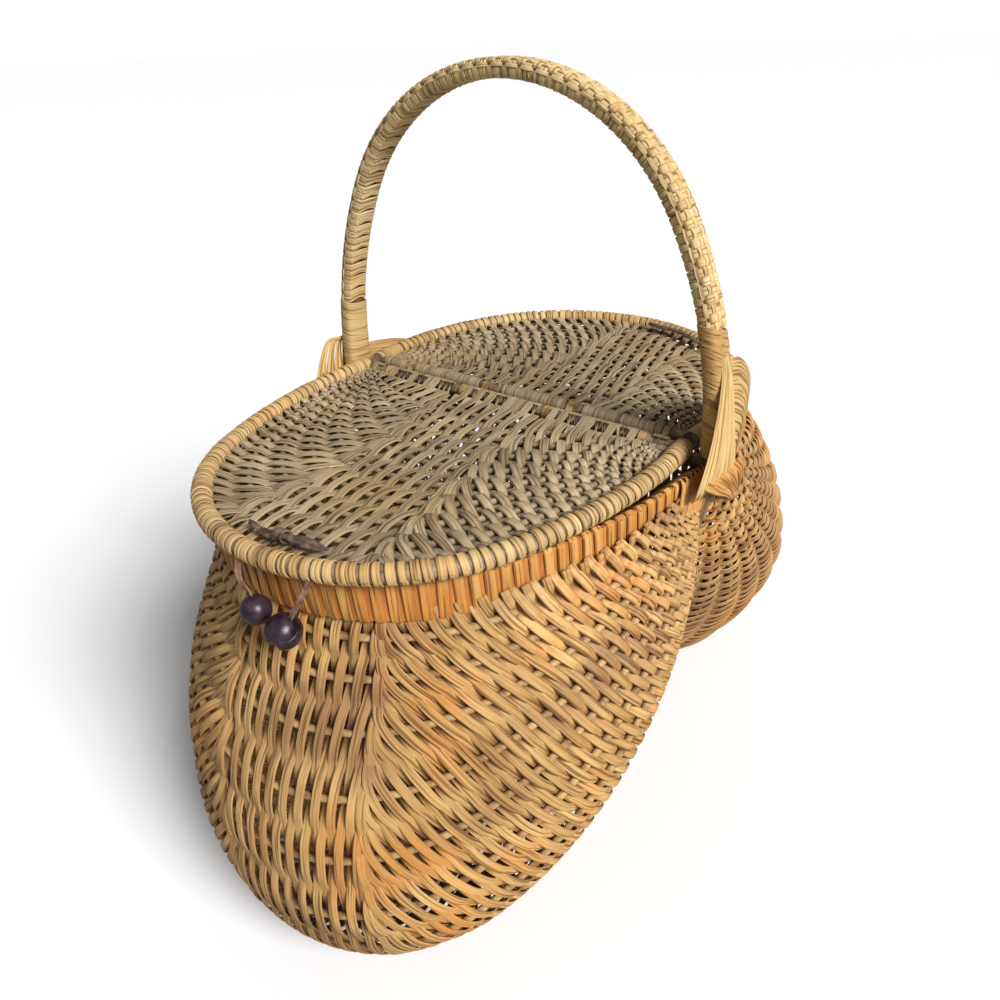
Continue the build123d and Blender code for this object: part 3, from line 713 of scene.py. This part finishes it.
def weave_lobe(side):
    panel = lobe_panel(side)
    rng = np.random.default_rng(LOBE_SEED[side])
    turns = panel.turns
    right_x = np.interp(turns, LOBE_GORE_TURNS, LOBE_GORE_RIGHT)
    left_x = -np.interp(turns, LOBE_GORE_TURNS, LOBE_GORE_LEFT)
    spread = 1 + RIM_SPREAD * (1 - eased((turns + 1) / 4))
    groups = panel_rows(panel, right_x, left_x, LOBE_PITCH, edge=7, middle_start=-34, middle_count=40,
                        spread=spread)
    for name, rows in zip(("right", "left", "middle"), groups):
        strips = Strips()
        for row in rows:
            weave_row(panel, strips, rng, *row)
        replaced = (f"weave_{side}",) if name == "middle" else ()
        strips.build(f"woven_{side}_{name}", "basket", "body_cane", body_cane, *replaced)


def weave_lid(side):
    panel = lid_panel(side)
    rng = np.random.default_rng(LID_SEED[side])
    right_x = np.interp(panel.turns, LID_GORE_TURNS, LID_GORE_RIGHT[side])
    left_x = -np.interp(panel.turns, LID_GORE_TURNS, LID_GORE_LEFT[side])
    strips = Strips()
    for rows in panel_rows(panel, right_x, left_x, LID_PITCH, edge=3, middle_start=-60, middle_count=44):
        for row in rows:
            weave_row(panel, strips, rng, *row)
    strips.build(f"woven_{side}_lid", f"{side}_lid", "lid_cane", lid_cane, f"{side}_lid_weave")


# The handle

HANDLE_PITCH = 3.58
HANDLE_LANE = 3.7
HANDLE_FACE = 3.35
HANDLE_BACK = -3.1
HANDLE_EDGE = 4.9           # sideways, where a turn begins to bend over the edge
HANDLE_SIDE = 6.45
HANDLE_WEAVE = 0.5          # height of a turn over a lengthwise strip


def rounded_wave(wave, power):
    """A wave with flatter tops."""
    return math.copysign(abs(wave) ** power, wave)


def handle_turn(arch, distance, k):
    """Points, looks and depths of one turn round the handle, over and under the lengthwise strips."""
    points, looks, depths = [], [], []
    p, normal = arch_frame(arch, distance)
    half_top = (0.0, 1.0, 1.85, 2.7, 3.7, 4.9, 5.7, 6.2)
    for side in [-s for s in half_top[:0:-1]] + list(half_top):
        edge = max(abs(side) - HANDLE_EDGE, 0) / 1.3
        lift = rounded_wave(math.cos(math.pi * side / HANDLE_LANE) * (-1) ** k, 0.5)
        points.append(p + normal * (HANDLE_FACE + HANDLE_WEAVE * lift - 1.35 * edge**2) + SIDEWAYS * side)
        looks.append(normal * (1 - 0.6 * edge) + SIDEWAYS * side / 9.0)
        # The depth darkens the turn with painted shade where it passes under a lengthwise strip.
        depths.append(lift)
    half_back = ((6.45, 0.3), (6.4, -1.3), (5.7, -2.7), (3.6, HANDLE_BACK))
    back = list(half_back) + [(0.0, HANDLE_BACK - 0.05)] + [(-side, out) for side, out in half_back[::-1]]
    pair = 0.42 if k % 2 else -0.42
    for side, out in back:
        share = (HANDLE_SIDE - side) / (2 * HANDLE_SIDE)
        slid = distance + pair * math.sin(math.pi * share) * 1.6
        p, normal = arch_frame(arch, slid + HANDLE_PITCH * 0.9 * (share - 1 + (1 - share) ** 3))
        points.append(p + normal * out + SIDEWAYS * side)
        looks.append(normal * out / 3.0 + SIDEWAYS * side / 6.0)
        depths.append(0.5)
    return points, looks, depths


def wrap_handle():
    """Cane wound round the handle, woven over three strips along its outside."""
    arch = arch_bow()
    rng = np.random.default_rng(HANDLE_SEED)
    strips = Strips()
    start = distance_at_height(arch, FOOT_TOP["right"] - 1)
    end = distance_at_height(arch, FOOT_TOP["left"] - 1, False)
    count = int((end - start) / HANDLE_PITCH)
    for k in range(count):
        points, looks, depths = handle_turn(arch, start + (k + 0.5) * HANDLE_PITCH, k)
        strips.add(points, looks, 3.55 + rng.normal(0, 0.06), 0.85, rng.uniform(0, 1), depths, closed=True)
    for side in (-HANDLE_LANE, 0.0, HANDLE_LANE):
        points, looks, depths = [], [], []
        for i in range(count * 6 + 1):
            k = i / 6 - 0.5
            p, normal = arch_frame(arch, start + (k + 0.5) * HANDLE_PITCH)
            wave = -math.cos(math.pi * k) * math.cos(math.pi * side / HANDLE_LANE)
            height = HANDLE_FACE + HANDLE_WEAVE * rounded_wave(wave, 0.6)
            points.append(p + normal * height + SIDEWAYS * side)
            looks.append(normal)
            # The depth darkens the strip with painted shade where it passes under a turn.
            depths.append(wave)
        strips.add(points, looks, 2.9, 0.75, rng.uniform(0, 1), depths)
    for side in (-1, 1):
        points, looks = [], []
        for i in range(count * 3 + 1):
            p, normal = arch_frame(arch, start + i * HANDLE_PITCH / 3)
            aside = 6.4 + 0.3 * math.cos(math.pi * (i / 3 - 0.5))
            points.append(p + normal * 1.5 + SIDEWAYS * side * aside)
            looks.append(normal * 0.4 + SIDEWAYS * side)
        strips.add(points, looks, 1.7, 0.9, 0.8, 0.4)
    strips.build("handle_wrapping", "basket", "pale_cane", handle_cane, "handle_plait")


def wrap_feet():
    """Close flat turns of cane round the two feet of the handle, wider towards the rim."""
    arch = arch_bow()
    rng = np.random.default_rng(FEET_SEED)
    low, turn_pitch, steps = 6.0, 2.9, 24
    # The right foot's turns take the darker cane with painted shade; the left foot's take the handle's own
    # cane.
    for name, sign, slant, material in (("right", 1, 0.56, shaded_foot_cane), ("left", -1, 0.2, handle_cane)):
        top = FOOT_TOP[name]
        strips = Strips()
        count = int((top - low) / turn_pitch)
        for k in range(count):
            height = low + (k + 0.5) * (top - low) / count
            swell = 0.35 * (1 - height / top) + 0.1 * (k % 2)
            tilt = slant + rng.normal(0, 0.05)
            points, looks = [], []
            for i in range(steps):
                angle = 2 * math.pi * i / steps
                c, s = math.cos(angle), math.sin(angle)
                out = rounded_wave(c, 0.55) * (3.95 + swell)
                side = rounded_wave(s, 0.7) * (7.05 + swell)
                drop = tilt * (0.81 * out * sign + 0.59 * side)
                p, normal = arch_frame(arch, distance_at_height(arch, max(height - drop, 0.5), sign > 0))
                points.append(p + normal * out + SIDEWAYS * side)
                looks.append(normal * c / 4.6 + SIDEWAYS * s / 7.0)
            strips.add(points, looks, 3.9, 0.75, rng.uniform(0, 1), 0.5, closed=True)
        strips.build(f"foot_turns_{name}", "basket", "pale_cane", material, f"foot_binding_{name}")


# Rims

RIM_TURN_START, RIM_TURN_PITCH = 12.0, 5.8
LID_TURN_START, LID_TURN_PITCH = 16.0, 4.1
LID_TURN_RADIUS = 3.95
CORNER_TURNS, CORNER_START, CORNER_PITCH, CORNER_RADIUS = 7, 1.5, 2.15, 4.15

# One turn round the rim's rod and band, as (outwards, up) from the rim's line.
RIM_TURN = ((0.45, 2.4), (0.5, 0.0), (0.5, -4.5), (0.5, -9.0), (0.35, -12.4), (-0.4, -13.9), (-1.6, -14.0),
            (-2.8, -12.6), (-4.6, -9.4), (-7.6, -7.2), (-9.1, -4.4), (-8.3, -1.8), (-5.4, 1.0), (-2.6, 3.3),
            (-1.0, 4.1), (0.1, 3.7))


def spaced(bow, start, pitch):
    """Places of the turns along a bow, evenly spaced between its two ends."""
    room = bow.length - 2 * start
    count = int(room / pitch)
    return [start + (k + 0.5) * room / count for k in range(count)]


def wrap_rim(side):
    """Cane wound round the rim's rod and band."""
    bow = rim_bow(side)
    rng = np.random.default_rng(RIM_SEED[side])
    strips = Strips()
    for place in spaced(bow, RIM_TURN_START, RIM_TURN_PITCH):
        d = place + rng.normal(0, 0.25)
        lean = rng.normal(0.06, 0.03)
        points, looks = [], []
        for out, up in RIM_TURN:
            (x, reach), (nx, ny) = bow.at(min(max(d + lean * (up + 5), 0.1), bow.length - 0.1))
            points.append((x + nx * out, OUT[side] * (reach + ny * out), EAR_HEIGHT + up))
            looks.append((nx * (out + 3.6), OUT[side] * ny * (out + 3.6), up + 5.5))
        strips.add(points, looks, 4.3 + rng.normal(0, 0.3), 0.9, rng.uniform(0, 1), 0.6, closed=True)
    strips.build(f"rim_turns_{side}", "basket", "pale_cane", rim_cane, f"rim_wraps_{side}")


def rod_turn(bow, side, distance, radius, lean=0.0):
    """Points and looks of one round turn about a lid's rim rod."""
    points, looks = [], []
    for i in range(14):
        angle = 2 * math.pi * i / 14
        (x, reach), (nx, ny) = bow.at(distance + lean * radius * math.sin(angle))
        out, up = radius * math.cos(angle), radius * math.sin(angle)
        points.append((x + nx * out, OUT[side] * (reach + ny * out), LID_Z + up))
        looks.append((nx * out, OUT[side] * ny * out, up))
    return points, looks


def wrap_lid_rim(side):
    """Cane wound round a lid's rim rod, and closer at the lid's two corners."""
    bow = lid_rim_bow(side)
    rng = np.random.default_rng(LID_RIM_SEED[side])
    strips = Strips()
    for place in spaced(bow, LID_TURN_START, LID_TURN_PITCH):
        d = place + rng.normal(0, 0.2)
        radius = LID_TURN_RADIUS + rng.uniform(-0.08, 0.1)
        turn = rod_turn(bow, side, d, radius, rng.normal(0.12, 0.05))
        strips.add(*turn, 3.3 + rng.normal(0, 0.15), 0.75, rng.uniform(0, 1), 0.6, closed=True)
    strips.build(f"lid_turns_{side}", f"{side}_lid", "pale_cane", edge_cane, f"{side}_lid_wraps")
    corners = Strips()
    for right in (True, False):
        for k in range(CORNER_TURNS):
            d = CORNER_START + k * CORNER_PITCH
            radius = CORNER_RADIUS + 0.25 * math.sin(math.pi * k / (CORNER_TURNS - 1))
            turn = rod_turn(bow, side, d if right else bow.length - d, radius)
            corners.add(*turn, 2.3, 0.8, rng.uniform(0, 1), 0.6, closed=True)
    corners.build(f"lid_corner_turns_{side}", f"{side}_lid", "pale_cane", edge_cane, f"{side}_lid_lashings")


# Ears. Points are for the right ear, and the left ear mirrors them.

# Name, way along X, top of the strap and top of the fan.
EARS = (("right", 1, 267.0, 256.0), ("left", -1, 246.0, 222.0))
EAR_CANE = 0.8              # thickness of the strips


def beside_foot(place, height, out):
    """A point on the outside of the handle's foot."""
    arch = arch_bow()
    return (arch_frame(arch, distance_at_height(arch, height - EAR_HEIGHT))[0][0] + out, place, height)


def strap_strips(rng, sign, top):
    """The broad strap from the handle's foot across the ear to the front rim."""
    strips = Strips()
    for k in range(11):
        share, stack = k / 10, 0.35 * (k % 2)
        foot = -25 + 34 * share
        path = curve_through([
            beside_foot(-4 + 5 * share, top - 3 * share, 3.6), beside_foot(-4.5 + 8 * share, top - 14, 4.6),
            beside_foot(foot * 0.6 - 1, 231.0 - 4 * share, 5.9 + stack),
            (111.2 + stack, foot, 213.0 - 6 * share), (108.2, foot + 1, 206.0 - 5 * share)], 7)
        wide = np.interp(path[:, 2], (204, 214, top - 22, top), (3.6, 3.9, 2.0, 1.1))
        strips.add(path * (sign, 1, 1), (sign, 0.0, 0.15), wide, EAR_CANE, rng.uniform(0.3, 1), 0.5)
    return strips


def fold_strips(rng, sign):
    """The strap's end, folded back to a point below the rim, and the slanted turns at the rim's end."""
    strips = Strips()
    for k in range(9):
        share, stack = k / 8, 0.3 * (k % 2)
        path = curve_through([(111.2, -23 + 37 * share, 214.0 - 5 * share),
                              (112.2 + stack, -10 + 29 * share, 205.5 - 2 * share),
                              (110.6 + stack, 9 + 15 * share, 194.0), (107.8, 24 + 3 * share, 182.5)], 7)
        wide = np.interp(np.linspace(0, 1, len(path)), (0, 0.4, 1), (4.2, 3.9, 1.4))
        strips.add(path * (sign, 1, 1), (sign, -0.1, 0.1), wide, EAR_CANE, rng.uniform(0, 1), 0.5)
    rim = rim_bow("front", 2.2)
    for k in range(7):
        (x, y), _ = rim.at(7 + 3.4 * k)
        path = curve_through([(x - 1.5, -y + 3.5, 213.5), (x + 0.6, -y + 2.5, 212.2), (x + 1.2, -y, 203.0),
                              (x + 0.9, -y - 3.0, 195.0), (x - 1.0, -y - 3.6, 192.5)], 6)
        strips.add(path * (sign, 1, 1), (sign, -0.15, 0.1), 4.0, EAR_CANE, rng.uniform(0, 1), 0.5)
    return strips


def fan_strips(rng, sign, crest):
    """Nested strips that curve from the strap's edge down to the rear rim."""
    strips = Strips()
    rim = rim_bow("rear", 2.6)
    low = 209.5
    for k in range(11):
        reach = 47 - 3.1 * k
        high = crest - (crest - 213) * k / 11
        drop = high - low
        (x, _), _ = rim.at(reach)
        first, last = beside_foot(1.5 + 0.5 * k, high + 1, 3.8), (x + 2.0, reach, low)
        near, far = first[0] * 0.75 + last[0] * 0.25 + 0.8, first[0] * 0.35 + last[0] * 0.65 + 1.4
        path = curve_through([first, (near, reach * 0.42, high - 0.1 * drop),
                              (far, reach * 0.8, high - 0.42 * drop), last, (x + 0.8, reach + 0.5, 197.0)], 7)
        wide = np.interp(np.linspace(0, 1, len(path)), (0, 0.3, 1), (3.4, 4.2, 4.4))
        strips.add(path * (sign, 1, 1), (sign, 0.25, 0.2), wide, EAR_CANE, rng.uniform(0, 1), 0.4)
    return strips


def lash_ears():
    """Strap, fold and fan of each ear."""
    for name, sign, strap_top, crest in EARS:
        rng = np.random.default_rng(EAR_SEED[name])
        straps, folds = strap_strips(rng, sign, strap_top), fold_strips(rng, sign)
        fan = fan_strips(rng, sign, crest)
        straps.build(f"ear_strips_{name}", "basket", "pale_cane", strap_cane, f"ear_strap_{name}")
        folds.build(f"ear_folds_{name}", "basket", "pale_cane", fold_cane)
        fan.build(f"ear_fan_strips_{name}", "basket", "pale_cane", strap_cane, f"ear_fan_{name}")


# The closure

LEATHER_TOP = LID_Z + 3.4
BEAD_RADIUS = 7.0
BEAD_Y = -165.65


def lay_leather(side, aside, half):
    """Two leather strips that twist about each other beside a lid's rim."""
    bow = lid_rim_bow(side, -8.2)
    middle = bow.half - aside
    count = 29
    strips = Strips()
    for number, sign, arch in ((0, -0.9, 0.2), (1, 0.9, 1.1)):
        points = []
        for share in (i / 14 - 1 for i in range(count)):
            (x, reach), (nx, ny) = bow.at(middle + share * half)
            out = sign * math.sin(math.pi * share * 1.15) + 0.5 * math.sin(5 * share + number)
            lift = 0.55 * math.cos(4.2 * share + 2 * number) + arch * (1 - abs(share)) ** 2
            points.append((x + nx * out, OUT[side] * (reach + ny * out), LEATHER_TOP + 0.7 + lift))
        looks = [(0.25 * math.sin(3 * i / 9 + number), 0.2 * math.cos(i / 4), 1.0) for i in range(count)]
        wide = np.interp(np.linspace(-1, 1, count), (-1, -0.85, 0.85, 1), (0.9, 2.5, 2.4, 0.8))
        strips.add(points, looks, wide, 1.0, 0.3 + 0.4 * number)
    for shift in (-0.9, 0.99) if side == "front" else ():
        points, looks = [], []
        for i in range(14):
            c, s = math.cos(2 * math.pi * i / 14), math.sin(2 * math.pi * i / 14)
            (x, reach), (nx, ny) = bow.at(middle + shift + 0.8 * s)
            points.append((x + nx * 2.7 * c, OUT[side] * (reach + ny * 2.7 * c), LEATHER_TOP + 1.6 + 1.9 * s))
            looks.append((nx * c, OUT[side] * ny * c, s))
        strips.add(points, looks, 2.3, 1.0, 0.5, closed=True)
    strips.build(f"leather_{side}", f"{side}_lid", "leather", leather, f"{side}_lid_thong")


def hang_lace(name, hole_x, bead):
    """A lace from its hole at the lid's rim down to its bead."""
    rim = lid_rim_bow("front")
    edge = rim.at(rim.half - hole_x)[0][1]
    start = np.array([hole_x, -(edge + 4.15), EAR_HEIGHT + 5.6])
    way = (start - bead) / np.linalg.norm(start - bead)
    end = bead + way * 6.9
    middle = (start + end) / 2 + np.array([0.6 if hole_x > 0 else -0.6, -1.2, 0.0])
    path = curve_through([start + np.array([0, 1.5, 1.0]), start, middle, end, bead + way * 3.5], 6)
    looks = [(0.5 * math.sin(0.2 * i), -1.0, 0.3) for i in range(len(path))]
    strips = Strips()
    strips.add(path, looks, 2.3, 0.9, 0.6)
    strips.build(f"lace_strip_{name}", "closure", "leather", lace_finish, f"lace_{name}")


def carve(ball, chosen, thickness, depth):
    """Insets the chosen faces and sinks them; leaves the ball in object mode."""
    for face in ball.data.polygons:
        face.select = chosen(face.center / (BEAD_RADIUS * MM))
    bpy.ops.object.mode_set(mode="EDIT")
    bpy.ops.mesh.select_mode(type="FACE")
    bpy.ops.mesh.inset(thickness=thickness * MM)
    bpy.ops.transform.shrink_fatten(value=-depth * MM)
    bpy.ops.mesh.select_all(action="DESELECT")
    bpy.ops.object.mode_set(mode="OBJECT")


def carve_bead(name, centre, turn):
    """A seed bead with a slot down its front and a groove round its top."""
    bpy.ops.object.select_all(action="DESELECT")
    bpy.ops.mesh.primitive_uv_sphere_add(segments=20, ring_count=14, radius=BEAD_RADIUS * MM,
                                         location=tuple(centre * MM), rotation=(0.4, turn, 0.2))
    ball = bpy.context.object
    ball.name = f"seed_bead_{name}"
    carve(ball, lambda place: abs(place.x) < 0.16 and place.z < 0.35 and place.y < 0.1, 0.35, 1.1)
    carve(ball, lambda place: 0.42 < place.z < 0.62 and place.length > 6.7 / BEAD_RADIUS, 0.25, 0.5)
    rounding = ball.modifiers.new("rounding", "SUBSURF")
    rounding.levels = rounding.render_levels = 1
    bpy.ops.object.modifier_apply(modifier="rounding")
    bpy.ops.object.shade_smooth()
    bpy.ops.object.transform_apply(location=True, rotation=True, scale=True)
    ball.data.materials.append(bead_finish)
    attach(ball, "closure")
    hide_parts(f"bead_{name}")


# Name, the hole's X, the bead's X and drop below the ears, and its turn about Y.
LACES = (("left", -2.0, 4.0, 12.0, -0.5), ("right", 29.0, 18.0, 15.5, 0.3))


def tie_closure():
    """Leather on both lids, and the two laces with their beads."""
    lay_leather("front", 9.0, 19.0)
    lay_leather("rear", 34.0, 23.0)
    for name, hole_x, bead_x, bead_drop, turn in LACES:
        bead = np.array([bead_x, BEAD_Y, EAR_HEIGHT - bead_drop])
        hang_lace(name, hole_x, bead)
        carve_bead(name, bead, turn)


# Finishes of the pieces that come from the part, by how their names begin; the others get the rod's.

FINISHES = {
    "centre_bar": lid_rod_finish, "front_lid_rib": lid_rod_finish, "rear_lid_rib": lid_rod_finish,
    "front_lid_rim": lid_rod_finish, "rear_lid_rim": lid_rod_finish, "front_lid_bar": lid_rod_finish,
    "rear_lid_bar": lid_rod_finish, "rim_band": band_finish, "handle_hoop": hoop_finish,
    "front_lid_thong": leather, "rear_lid_thong": leather, "lace": leather, "bead": bead_finish,
}


def finish_nodes():
    for name, node in nodes.items():
        finish = next((m for start, m in FINISHES.items() if name.startswith(start)), rod_finish)
        node.data.materials.clear()
        node.data.materials.append(finish)


# Floor, light and camera

FLOOR_SEEN = (0.98, 0.98, 0.98, 1.0)
FLOOR_LIT = (0.33, 0.32, 0.31, 1.0)
WHITE = (1.0, 1.0, 1.0, 1.0)
SKY_STRENGTH = 0.2
SUN_FROM = (1.0, -0.22, 0.8)
VIEW_FROM = (0.21461, -0.29566, 0.37507)
VIEW_TURN = (59.5143, 1.7466, 36.0878)


def lay_floor():
    """Plain paper that looks white, and is darker as a source of light from below."""
    bpy.ops.object.select_all(action="DESELECT")
    bpy.ops.mesh.primitive_plane_add(size=40.0, location=(0, 0, 0))
    floor = bpy.context.object
    floor.name = "floor"
    paper, w, surface = new_material("floor_paper")
    surface.inputs["Roughness"].default_value = 0.9
    seen = w.nodes.new("ShaderNodeLightPath").outputs["Is Camera Ray"]
    w.link(w.mixed("MIX", seen, FLOOR_LIT, FLOOR_SEEN), surface.inputs["Base Color"])
    floor.data.materials.append(paper)


def light_studio():
    """One soft sun from the right, a faint sky, and a white background."""
    world = bpy.data.worlds.new("studio")
    bpy.context.scene.world = world
    world.use_nodes = True
    add, link = world.node_tree.nodes.new, world.node_tree.links.new
    sky, backdrop = add("ShaderNodeBackground"), add("ShaderNodeBackground")
    chosen = add("ShaderNodeMixShader")
    for background, strength in ((sky, SKY_STRENGTH), (backdrop, 1.0)):
        background.inputs["Color"].default_value = WHITE
        background.inputs["Strength"].default_value = strength
    sources = (add("ShaderNodeLightPath").outputs["Is Camera Ray"], sky.outputs[0], backdrop.outputs[0])
    for socket, source in zip(chosen.inputs, sources):
        link(source, socket)
    link(chosen.outputs[0], world.node_tree.nodes["World Output"].inputs["Surface"])
    sun = bpy.data.lights.new("soft_sun", "SUN")
    sun.angle, sun.energy = math.radians(24), 4.4
    holder = bpy.data.objects.new("soft_sun", sun)
    bpy.context.scene.collection.objects.link(holder)
    holder.rotation_mode = "QUATERNION"
    holder.rotation_quaternion = Vector(SUN_FROM).to_track_quat("Z", "Y")


def set_camera():
    view = bpy.data.cameras.new("photo_view")
    camera = bpy.data.objects.new("photo_view", view)
    bpy.context.scene.collection.objects.link(camera)
    bpy.context.scene.camera = camera
    view.lens, view.sensor_width = 28.8, 36.0
    view.clip_start, view.clip_end = 0.01, 100.0
    camera.location = VIEW_FROM
    camera.rotation_euler = [math.radians(angle) for angle in VIEW_TURN]
    bpy.context.scene.view_settings.view_transform = "Standard"


for side in SIDES:
    weave_lobe(side)
for side in SIDES:
    weave_lid(side)
wrap_handle()
wrap_feet()
for side in SIDES:
    wrap_rim(side)
for side in SIDES:
    wrap_lid_rim(side)
lash_ears()
tie_closure()
finish_nodes()
lay_floor()
light_studio()
set_camera()
